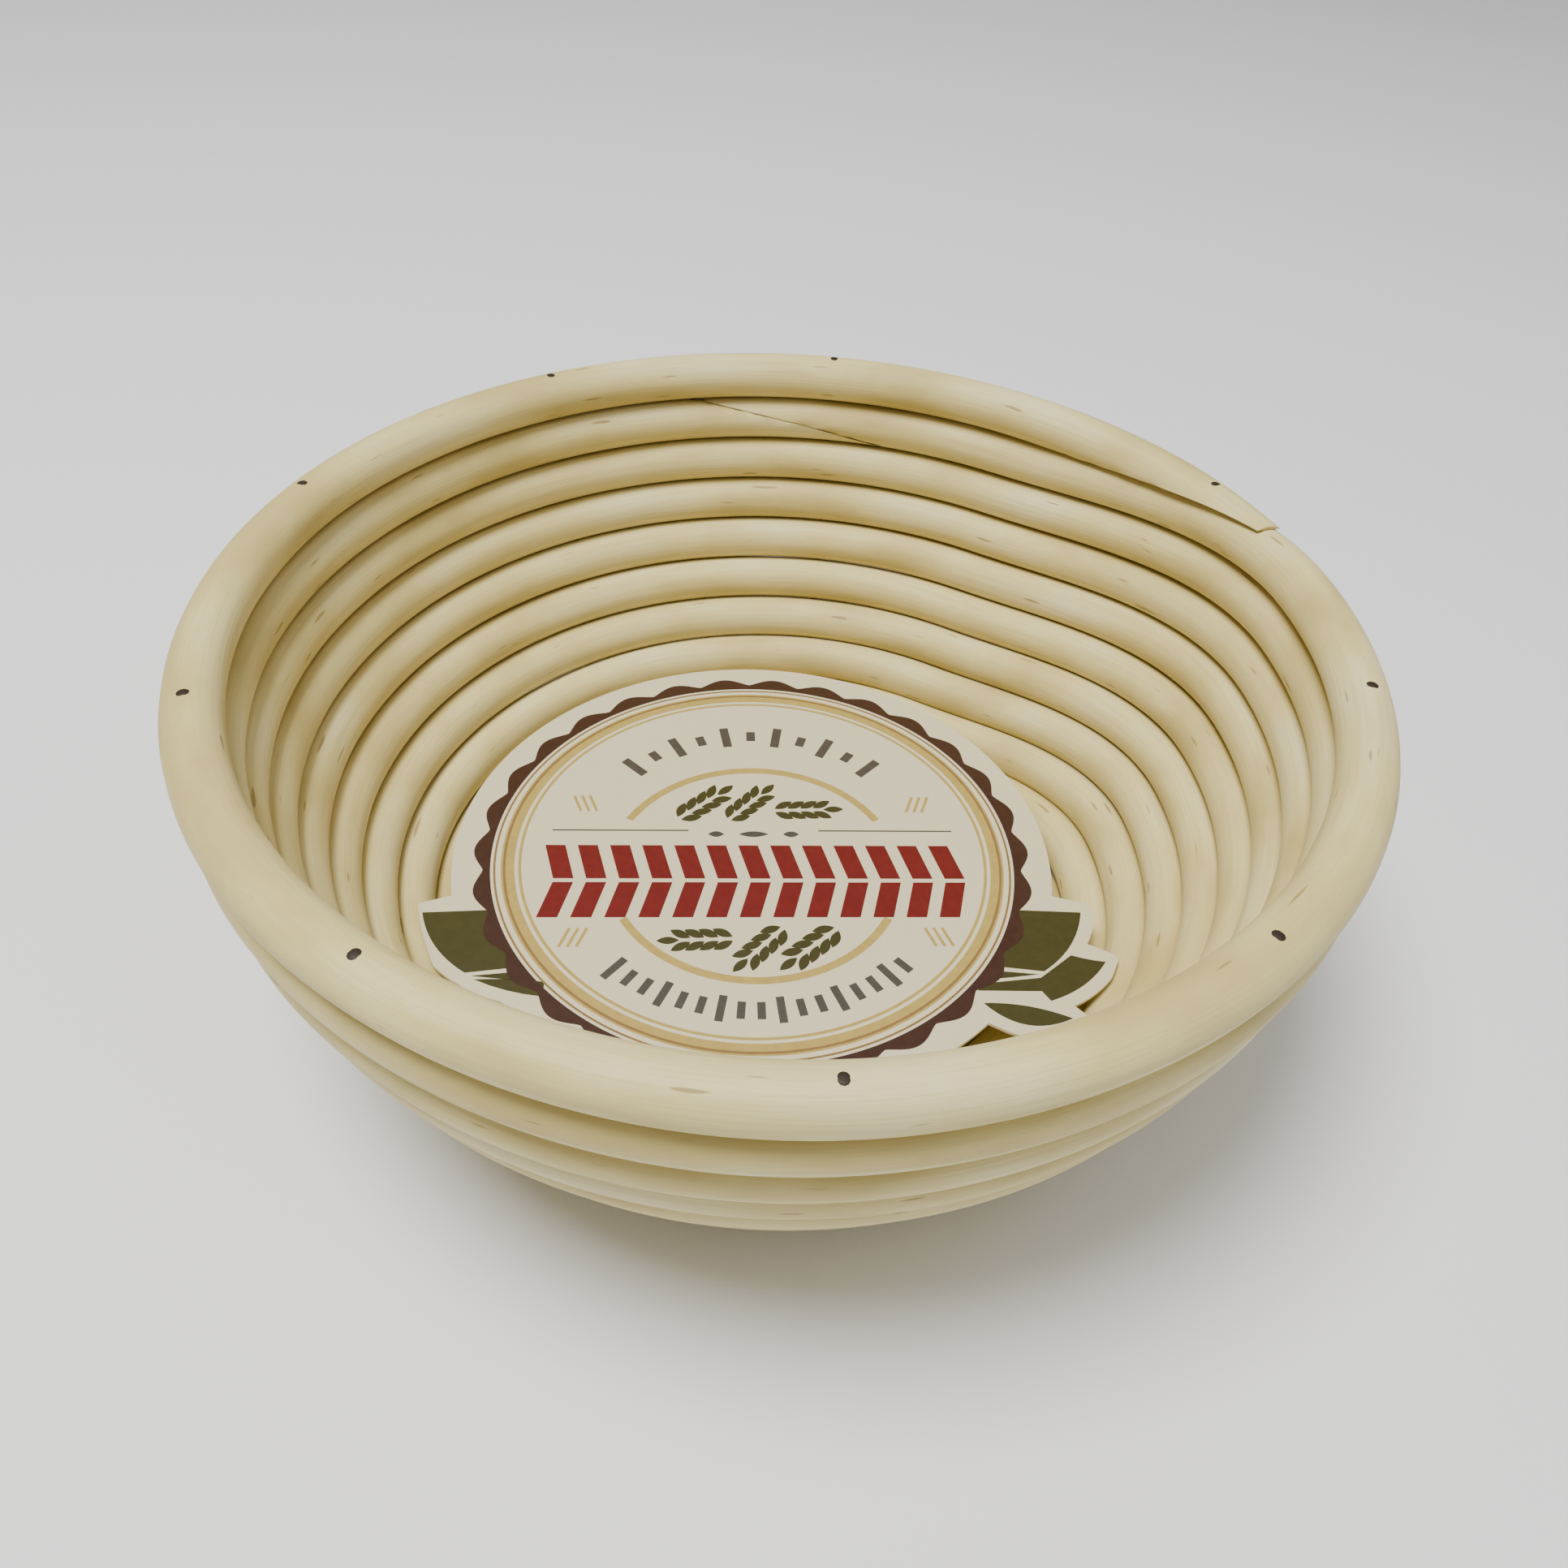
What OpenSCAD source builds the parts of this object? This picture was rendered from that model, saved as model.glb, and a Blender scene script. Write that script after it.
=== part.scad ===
// Round proving basket coiled from lengths of rattan cane, with a loose printed card inside.
// Millimetres, +Z up. The origin is on the table, at the middle of the base.

/* [Bowl] */
// Outside diameter across the rim
bowl_d = 200; // [160:1:300]
// Height from the table to the top of the rim
bowl_h = 80; // [60:1:110]
// Slope of the wall at the rim, from the table
rim_angle = 87; // [80:1:89]
// Slope of the wall where the foot bend begins
foot_angle = 47; // [40:1:60]
// Bend radius of the foot, to the middle of the cane
foot_bend_r = 30; // [20:1:40]

/* [Cane] */
// Diameter of the cane
cane_d = 9.3; // [6:0.1:12]
// Gap between neighbouring turns
seam_gap = 0.05; // [0.05:0.05:0.5]

/* [Coil] */
// Bearing where every turn has finished stepping down, anticlockwise from +X
step_end = 62; // [40:1:90]
// Angle over which a turn of the wall steps down by one turn
step_span = 50; // [44:1:70]
// How much wider the step gets from each turn of the base to the next
step_growth = 1.15; // [1:0.01:1.2]
// Angle that the tapered end of the rim lies over the turn below
rim_lap = 41; // [30:1:42]

/* [Scarf joints] */
// Length of the slanting joint between two lengths of cane
scarf_len = 46; // [30:1:60]
// Thickness of the glue line in a scarf joint
glue_line = 0.1; // [0.05:0.05:0.3]
// Turn, counted down from the rim, that holds the joint of rim cane to wall cane
rim_joint_turn = 1; // [1:1:3]
// Bearing of the middle of that joint
rim_joint_at = 91; // [90:1:110]
// Turn that holds the joint of wall cane to base cane
base_joint_turn = 8; // [5:1:9]
// Bearing of the middle of that joint
base_joint_at = 126; // [100:1:200]

/* [Nails] */
// Diameter of a nail
nail_d = 1.3; // [1:0.1:2]
// Diameter of a nail's head
nail_head_d = 2; // [1.8:0.1:3]
// Thickness of a nail's head
nail_head_t = 0.4; // [0.3:0.1:0.8]
// Angle between nails along a turn of the wall; half as many nails hold the base
nail_angle = 38; // [30:1:60]
// Bearing of the first nail in the rim
first_nail_at = 86; // [70:1:110]
// How far a nail goes into the turn below
nail_bite = 5; // [3:0.5:7]

/* [Card] */
// Diameter of the round part of the card
card_d = 117; // [90:1:130]
// Thickness of the card
card_t = 0.6; // [0.4:0.1:1.5]
// Height of the card's underside above the table
card_z = 21; // [18:0.5:26]
// Where the middle of the card lies, sideways and backwards
card_at = [-4, -1];
// Clearance between the leaf tips and the wall
card_clear = 0.5; // [0.3:0.1:2]
// Width of a leaf
leaf_w = 17; // [10:1:24]

/* [Hidden] */
$fn = 64;

// Facets round the cane and along one turn of it
cane_sides = 12;
turn_steps = 36;
step_a = 360 / turn_steps;
cane_r = cane_d / 2;
// From the middle of the cane to a facet; the basket stands on the lowest ones.
cane_face = cane_r * cos(180 / cane_sides);
pitch = cane_d + seam_gap;

// The middle of the cane follows a wall bend, then a foot bend, then the flat base.
rim_r = bowl_d / 2 - cane_face;
rim_z = bowl_h - cane_face;
base_z = cane_face;
wall_bend_r = (rim_z - base_z - foot_bend_r * (1 - cos(foot_angle))) / (cos(foot_angle) - cos(rim_angle));
wall_len = wall_bend_r * (rim_angle - foot_angle) * PI / 180;
foot_len = foot_bend_r * foot_angle * PI / 180;
wall_mid_r = rim_r - wall_bend_r * sin(rim_angle);
wall_mid_z = rim_z + wall_bend_r * cos(rim_angle);
foot_mid_r = wall_mid_r + (wall_bend_r - foot_bend_r) * sin(foot_angle);

// The innermost turn stays wide enough for the cane to bend.
inner_turn_r = 0.95 * pitch;
last_turn = floor((wall_len + foot_len + foot_mid_r - inner_turn_r) / pitch);

// Thickness of a scarf's blunt tip
scarf_tip = 0.5;
// How far a nail's head is below the cane's crown, and nails keep this angle from a step.
nail_sink = 0.1;
nail_margin = 8;
// A scarf joint's nails, from its middle to its tips, and the room the other nails leave them
joint_nail_at = 0.8;
joint_nail_room = 2 * nail_head_d;
// Angle from the rim's tip to the nail that holds it
rim_end_nail = 10;
// Length of a leaf, and the bearings of the leaves that reach the wall
leaf_len = 34;
leaf_bearings = [199, 211, 330, 340, 349];

// Slope, radius and height of the coil's middle line at length s down from the rim
function slope(s) =
    s < wall_len ? rim_angle - s / wall_bend_r * 180 / PI
    : max(0, foot_angle - (s - wall_len) / foot_bend_r * 180 / PI);
function coil_r(s) =
    s < wall_len ? wall_mid_r + wall_bend_r * sin(slope(s))
    : foot_mid_r + foot_bend_r * sin(slope(s)) - max(0, s - wall_len - foot_len);
function coil_z(s) =
    s < wall_len ? wall_mid_z - wall_bend_r * cos(slope(s))
    : base_z + foot_bend_r * (1 - cos(slope(s)));

// Travel t is the angle wound along the coil from step_end on the rim turn. Each turn is
// level at first, and steps down by one pitch over its last step_w degrees. The turns of
// the wall step alike, so that they touch all the way; those of the base wind inwards.
function step_w(k) = min(180, step_span * pow(step_growth, max(0, k - base_joint_turn)));
function step_start(k) = 360 + step_end - step_w(k);
function ease(x) = x <= 0 ? 0 : x * x * (3 - 2 * x);
function depth(t) =
    let (k = max(0, floor(t / 360)), w = step_w(k))
    pitch * (k + ease((t - 360 * (k + 1)) / w + 1));
function travel(k, at) = 360 * k + at - step_end;

// A point of the cane's skin: out from the wall by n and up along it by u
function skin(t, n, u) =
    let (s = depth(t), a = slope(s), r = coil_r(s) + n * sin(a) + u * cos(a), at = t + step_end)
    [r * cos(at), r * sin(at), coil_z(s) - n * cos(a) + u * sin(a)];

// One ring of the skin, cut off square below height low and above height high
function ring(t, low, high) = [
    for (i = [0:cane_sides - 1])
        let (b = (i + 0.5) * 360 / cane_sides,
             u = min(max(cane_r * sin(b), low), high),
             n = min(abs(cane_r * cos(b)), sqrt(max(0, cane_r * cane_r - u * u))))
        skin(t, sign(cos(b)) * n, u)
];

// Where the cane is cut at travel t: the slant of a scarf in the middle of turn k,
// or the top of the turn that steps down under the rim's end
function scarf_u(t, k, at) = (t - travel(k, at)) * PI / 180 * coil_r(k * pitch) * cane_d / scarf_len;
function lap_u(t) = cane_r + seam_gap - depth(t + 360);
function scarf_half(k) = (0.5 - scarf_tip / cane_d) * scarf_len / coil_r(k * pitch) * 180 / PI;

// Stops along the cane from travel t0 to t1, at the same bearings on every turn
function stops(t0, t1) =
    let (first = floor((t0 + step_end) / step_a) + 1, last = ceil((t1 + step_end) / step_a) - 1)
    concat([t0], [for (i = [first:last]) i * step_a - step_end], [t1]);

// A closed skin over rings that have the same number of points
module skin_over(rings) {
    n = len(rings[0]);
    last = len(rings) - 1;
    edges = [for (j = [0:last - 1], i = [0:n - 1]) [j * n + i, j * n + (i + 1) % n]];
    polyhedron(
        points = [for (r = rings) each r],
        faces = concat(
            [[for (i = [n - 1:-1:0]) i]],
            [for (e = edges) [e[0], e[1], e[1] + n]],
            [for (e = edges) [e[0], e[1] + n, e[0] + n]],
            [[for (i = [0:n - 1]) last * n + i]]
        ),
        convexity = 10
    );
}

module rim_cane() {
    k = rim_joint_turn;
    end = travel(k, rim_joint_at) + scarf_half(k);
    color("burlywood") skin_over([
        for (t = stops(-rim_lap, end))
            ring(t, t < 0 ? lap_u(t) : scarf_u(t, k, rim_joint_at) + glue_line / 2, cane_r)
    ]);
}

module wall_cane() {
    k0 = rim_joint_turn;
    k1 = base_joint_turn;
    start = travel(k0, rim_joint_at) - scarf_half(k0);
    end = travel(k1, base_joint_at) + scarf_half(k1);
    g = glue_line / 2;
    color("wheat") skin_over([
        for (t = stops(start, end))
            ring(t, scarf_u(t, k1, base_joint_at) + g, scarf_u(t, k0, rim_joint_at) - g)
    ]);
}

module base_cane() {
    k = base_joint_turn;
    start = travel(k, base_joint_at) - scarf_half(k);
    color("tan") skin_over([
        for (t = stops(start, travel(last_turn, step_start(last_turn))))
            ring(t, -cane_r, scarf_u(t, k, base_joint_at) - glue_line / 2)
    ]);
}

// Moves its children to turn k, with X square out of the wall and Z up along it.
module on_turn(k, at) {
    s = k * pitch;
    translate([coil_r(s) * cos(at), coil_r(s) * sin(at), coil_z(s)])
        rotate([0, 90 - slope(s), at]) children();
}

// A nail driven down through turn k at a bearing, with its head just below the cane's crown
module nail(k, at) {
    head_z = cane_r - nail_sink;
    point_z = cane_r - pitch - nail_bite;
    on_turn(k, at) {
        translate([0, 0, point_z]) cylinder(d = nail_d, h = head_z - point_z);
        translate([0, 0, head_z - nail_head_t]) cylinder(d = nail_head_d, h = nail_head_t);
    }
}

// Bearings of the two nails through the scarf joint in turn k, and whether a nail keeps clear
function joint_nails(k, at) = [for (side = [-1, 1]) at + side * joint_nail_at * scarf_half(k)];
function clear_of(k, at, joint_k, joint_at) =
    let (off = min([for (b = joint_nails(joint_k, joint_at)) abs(at - b)]))
    abs(k - joint_k) > 1 || off * PI / 180 * coil_r(k * pitch) > joint_nail_room;

// Nails from turn k into turn k + 1, where both are level. Each row starts half a
// spacing on from the row above, so that no nail meets another.
module nail_row(k, every) {
    from = first_nail_at + (k % (2 * every)) * nail_angle / 2;
    for (at = [from:every * nail_angle:step_start(k + 1) - nail_margin])
        if (clear_of(k, at, rim_joint_turn, rim_joint_at) && clear_of(k, at, base_joint_turn, base_joint_at))
            nail(k, at);
}

module rim_nails() {
    color("dimgray") {
        nail_row(0, 1);
        nail(0, step_end - rim_lap + rim_end_nail);
    }
}

module wall_nails() {
    color("dimgray") {
        for (k = [1:base_joint_turn - 1]) nail_row(k, 1);
        for (at = joint_nails(rim_joint_turn, rim_joint_at)) nail(rim_joint_turn, at);
    }
}

module base_nails() {
    color("dimgray") {
        for (k = [base_joint_turn:last_turn - 1]) nail_row(k, 2);
        for (at = joint_nails(base_joint_turn, base_joint_at)) nail(base_joint_turn, at);
    }
}

// A pointed leaf of the card, lying outwards along +X with its tip at x = reach
module leaf(reach) {
    side_r = (leaf_len * leaf_len / 4 + leaf_w * leaf_w / 4) / leaf_w;
    translate([reach - leaf_len / 2, 0]) intersection() {
        translate([0, leaf_w / 2 - side_r]) circle(r = side_r);
        translate([0, side_r - leaf_w / 2]) circle(r = side_r);
    }
}

// Radius of the wall's inner face at height z, within the wall bend
function inside_r(z) =
    let (r = wall_bend_r - cane_r, c = (wall_mid_z - z) / r) wall_mid_r + r * sqrt(1 - c * c);

module insert_card() {
    reach = inside_r(card_z) - card_clear;
    color("ivory") translate([0, 0, card_z]) linear_extrude(card_t) {
        translate(card_at) circle(d = card_d);
        for (at = leaf_bearings) rotate(at) leaf(reach);
    }
}

rim_cane();
wall_cane();
base_cane();
rim_nails();
wall_nails();
base_nails();
insert_card();
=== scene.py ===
"""Round proving basket coiled from rattan cane, with a loose printed card lying in it."""
import math

import bmesh
import bpy
from mathutils import Matrix, Vector


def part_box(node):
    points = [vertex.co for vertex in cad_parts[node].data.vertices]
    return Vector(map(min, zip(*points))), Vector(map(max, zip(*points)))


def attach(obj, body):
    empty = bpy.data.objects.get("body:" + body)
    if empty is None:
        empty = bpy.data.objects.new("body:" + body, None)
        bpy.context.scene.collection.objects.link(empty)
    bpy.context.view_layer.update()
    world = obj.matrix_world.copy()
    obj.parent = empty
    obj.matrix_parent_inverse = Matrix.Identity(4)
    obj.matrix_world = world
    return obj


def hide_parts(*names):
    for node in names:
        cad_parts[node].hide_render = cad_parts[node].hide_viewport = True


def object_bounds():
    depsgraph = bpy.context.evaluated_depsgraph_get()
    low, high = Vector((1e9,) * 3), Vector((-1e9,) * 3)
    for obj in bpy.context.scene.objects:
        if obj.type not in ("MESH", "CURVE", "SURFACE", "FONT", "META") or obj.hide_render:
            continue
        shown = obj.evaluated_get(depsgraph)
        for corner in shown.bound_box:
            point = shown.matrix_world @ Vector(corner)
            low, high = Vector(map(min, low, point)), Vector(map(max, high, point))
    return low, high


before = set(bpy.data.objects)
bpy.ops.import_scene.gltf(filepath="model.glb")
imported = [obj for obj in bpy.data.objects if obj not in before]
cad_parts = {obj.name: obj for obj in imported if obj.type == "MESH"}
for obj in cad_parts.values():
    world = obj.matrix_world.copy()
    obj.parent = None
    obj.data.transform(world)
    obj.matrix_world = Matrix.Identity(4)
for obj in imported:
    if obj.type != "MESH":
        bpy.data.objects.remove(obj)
CAD_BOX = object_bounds()

bl_info = {
    "name": "Coiled Cane Proving Basket",
    "version": (1, 0, 0),
    "blender": (4, 5, 0),
    "location": "View3D > Sidebar > Basket",
    "description": "Builds a coiled rattan proving basket, its nails and its printed card",
    "category": "Object",
}

MM = 0.001
CARD_LOW, CARD_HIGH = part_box("insert_card")


def colour(code):
    """Linear RGBA of an sRGB hex colour such as D8CC9F."""
    parts = [int(code[i:i + 2], 16) / 255 for i in (0, 2, 4)]
    return (*(c / 12.92 if c <= 0.04045 else ((c + 0.055) / 1.055) ** 2.4 for c in parts), 1.0)


# ---------------------------------------------------------------- sizes and colours


def length(name, default, description):
    """A length property, in metres."""
    return bpy.props.FloatProperty(
        name=name, default=default, description=description,
        subtype="DISTANCE", unit="LENGTH", precision=5)


def angle(name, degrees, description):
    """An angle property, given here in degrees."""
    return bpy.props.FloatProperty(
        name=name, default=math.radians(degrees), description=description, subtype="ANGLE", unit="ROTATION")


def tint(name, code, description):
    """A colour property, given here as sRGB hex."""
    return bpy.props.FloatVectorProperty(
        name=name, default=colour(code), description=description, subtype="COLOR", size=4, min=0, max=1)


class BasketSizes(bpy.types.PropertyGroup):
    """The bowl, the cane it is coiled from, and the joints and nails that hold it"""
    bowl_width: length("Bowl Width", CAD_BOX[1][0] - CAD_BOX[0][0], "Outside diameter across the rim")
    bowl_height: length("Bowl Height", CAD_BOX[1][2] - CAD_BOX[0][2], "From the table to the rim's crown")
    rim_slope: angle("Rim Slope", 87, "Slope of the wall at the rim")
    foot_slope: angle("Foot Slope", 47, "Slope of the wall where the foot bend begins")
    foot_bend: length("Foot Bend", 30 * MM, "Bend radius of the foot")
    cane_width: length("Cane Width", 9.3 * MM, "Diameter of the cane")
    seam_gap: length("Seam Gap", 0.05 * MM, "Gap between neighbouring turns")
    step_end: angle("Step End", 62, "Bearing where each turn has stepped down, anticlockwise from +X")
    step_span: angle("Step Span", 50, "Angle over which the rim turn steps down by one turn")
    step_growth: bpy.props.FloatProperty(
        name="Step Growth", default=1.15,
        description="How much wider the step gets from each turn of the base to the next")
    rim_lap: angle("Rim Lap", 41, "Angle that the rim's tapered end lies over the turn below")
    scarf_length: length("Scarf Length", 46 * MM, "Length of a slanting joint between two canes")
    glue_line: length("Glue Line", 0.1 * MM, "Thickness of the glue in a slanting joint")
    rim_joint_turn: bpy.props.IntProperty(
        name="Rim Joint Turn", default=1, description="Turn that holds the upper joint")
    rim_joint_at: angle("Rim Joint Bearing", 91, "Bearing of the upper joint's middle")
    base_joint_turn: bpy.props.IntProperty(
        name="Base Joint Turn", default=8, description="Turn that holds the lower joint")
    base_joint_at: angle("Base Joint Bearing", 126, "Bearing of the lower joint's middle")
    sway: length("Sway", 0.22 * MM, "How far a turn wanders out of the wall's true curve")
    nail_width: length("Nail Width", 1.3 * MM, "Diameter of a nail")
    nail_head: length("Nail Head", 2 * MM, "Diameter of a nail's head")
    nail_bite: length("Nail Bite", 5 * MM, "How far a nail goes into the turn below")
    nail_angle: angle("Nail Angle", 38, "Angle between nails along a turn of the wall")
    first_nail_at: angle("First Nail", 86, "Bearing of the first nail in the rim")


class CardSizes(bpy.types.PropertyGroup):
    """The die-cut card and what is printed on it"""
    disc_radius: length("Disc Radius", 58.5 * MM, "Radius of the card's round part")
    middle_x: length("Middle X", -4 * MM, "Where the card's middle lies, sideways")
    middle_y: length("Middle Y", -1 * MM, "Where the card's middle lies, backwards")
    turned: angle("Turned", 4.5, "How far the card is turned anticlockwise")
    leaf_border: length("Leaf Border", 2.6 * MM, "White border round each printed leaf")
    leaf_reach: length("Leaf Reach", 68.9 * MM, "Farthest a leaf tip is from the bowl's axis")
    ring_radius: length("Ring Radius", 54.6 * MM, "Radius of the scalloped ring's points")
    scallops: bpy.props.IntProperty(name="Scallops", default=30, description="Scallops round the ring")
    ink: length("Ink", 0.03 * MM, "Thickness that stands for the printed ink")


class BasketColours(bpy.types.PropertyGroup):
    """Base colours of the cane, the card and its inks"""
    cane: tint("Cane", "DCCB88", "Peeled rattan")
    cane_pale: tint("Pale Cane", "E5D8A2", "Paler stretches of the cane")
    cane_deep: tint("Deep Cane", "C5B16C", "Yellower stretches and fibre lines")
    # Painted shade in the grooves where two turns touch, and the real dark glue line along a scarf joint
    cane_shade_and_glue: tint("Cane Seam", "8F8145", "Cane where two turns touch")
    cane_fleck: tint("Cane Fleck", "8E7238", "Short brown flecks")
    paper: tint("Paper", "D3C9A6", "Card stock")
    paper_fleck: tint("Pulp", "C9C0AC", "Darker clouds of pulp in the card")
    brown: tint("Brown Ink", "351A0B", "Scalloped ring")
    gold: tint("Gold Ink", "A8904A", "Rings, arcs and hatching")
    bronze: tint("Bronze Ink", "7E6234", "Fine ring lines")
    red: tint("Red Ink", "640B05", "Plaited band")
    grey: tint("Grey Ink", "433D36", "Dashes and rules")
    olive: tint("Olive Ink", "37330A", "Leaves and grain")
    steel: tint("Steel", "30261B", "Nail wire")
    rust: tint("Rust", "33230F", "Brown bloom on the nails")


class StageSettings(bpy.types.PropertyGroup):
    """The camera, the floor and the light"""
    camera_height: length("Camera Height", 208.05 * MM, "Height of the camera above the table")
    camera_back: length("Camera Back", 185.9 * MM, "How far the camera stands in front of the bowl's axis")
    camera_side: length("Camera Side", 1.1 * MM, "How far the camera stands to the right of the bowl's axis")
    camera_dip: angle("Camera Dip", 42.3, "How far the camera looks down")
    camera_roll: angle("Camera Roll", 3.36, "How far the camera leans anticlockwise")
    lens: bpy.props.FloatProperty(
        name="Lens", default=30.5, description="Focal length on a 36 mm sensor", unit="CAMERA")
    floor: tint("Floor", "EDEDED", "Studio floor")
    sky: bpy.props.FloatProperty(name="Sky", default=0.28, description="Strength of the even light all round")


GROUPS = {
    "basket_sizes": BasketSizes,
    "card_sizes": CardSizes,
    "basket_colours": BasketColours,
    "stage_settings": StageSettings,
}


# ---------------------------------------------------------------- node and mesh helpers


def add(tree, kind, inputs=None, stops=(), **settings):
    """Adds a node with its settings and links.

    inputs maps socket names or numbers to values, to sockets, or to nodes, whose first output is
    then linked. stops are those of a colour ramp, (place, colour) each.
    """
    made = tree.nodes.new(kind)
    for name, value in settings.items():
        setattr(made, name, value)
    for key, value in (inputs or {}).items():
        if isinstance(value, bpy.types.Node):
            value = value.outputs[0]
        if isinstance(value, bpy.types.NodeSocket):
            tree.links.new(value, made.inputs[key])
        else:
            made.inputs[key].default_value = value
    if stops:
        elements = made.color_ramp.elements
        while len(elements) < len(stops):
            elements.new(0.5)
        for element, (place, shade) in zip(elements, stops):
            element.position, element.color = place, shade
    return made


def link_new(name, mesh):
    """A new object in the scene that holds mesh, at the origin."""
    made = bpy.data.objects.new(name, mesh)
    bpy.context.scene.collection.objects.link(made)
    return made


def through_nodes(name, source, tree, values):
    """Runs source's mesh through a Geometry Nodes tree and returns the result as a plain mesh object."""
    maker = link_new(name + "_maker", source)
    modifier = maker.modifiers.new("Maker", "NODES")
    modifier.node_group = tree
    for item in tree.interface.items_tree:
        if item.item_type == "SOCKET" and item.in_out == "INPUT" and item.name in values:
            modifier[item.identifier] = values[item.name]
    graph = bpy.context.evaluated_depsgraph_get()
    mesh = bpy.data.meshes.new_from_object(
        maker.evaluated_get(graph), preserve_all_data_layers=True, depsgraph=graph)
    mesh.name = name
    bpy.data.objects.remove(maker)
    if not mesh.polygons:
        raise RuntimeError(f"{name} came out empty")
    return link_new(name, mesh)


def new_tree(name, inputs):
    """A Geometry Nodes tree with the given inputs, (name, socket type, default) each."""
    tree = bpy.data.node_groups.new(name, "GeometryNodeTree")
    tree.interface.new_socket("Geometry", in_out="INPUT", socket_type="NodeSocketGeometry")
    for label, kind, default in inputs:
        socket = tree.interface.new_socket(label, in_out="INPUT", socket_type=kind)
        if default is not None:
            socket.default_value = default
    tree.interface.new_socket("Geometry", in_out="OUTPUT", socket_type="NodeSocketGeometry")
    return tree, add(tree, "NodeGroupInput").outputs


def finish_tree(tree, geometry, material):
    """Ends a tree: real geometry in one material."""
    solid = add(tree, "GeometryNodeRealizeInstances", {"Geometry": geometry})
    done = add(tree, "GeometryNodeSetMaterial", {"Geometry": solid, "Material": material})
    add(tree, "NodeGroupOutput", {"Geometry": done})


# ---------------------------------------------------------------- the coil


CANE_SIDES = 24
STOPS_PER_TURN = 180
# Radius of the innermost turn, in pitches: cane bends no tighter
TIGHTEST_TURN = 0.95
SCARF_TIP = 0.5 * MM
NAIL_MARGIN = math.radians(8)
RIM_END_NAIL = math.radians(10)
JOINT_NAIL_AT = 0.8
NAIL_PROUD = 0.12 * MM
NAIL_SIDES = 12
FIRST_SEED, SEED_STEP = 7, 10
TURN = 2 * math.pi


def ease(x):
    """0 to 1, level at both ends."""
    return 0.0 if x <= 0 else x * x * (3 - 2 * x)


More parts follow.
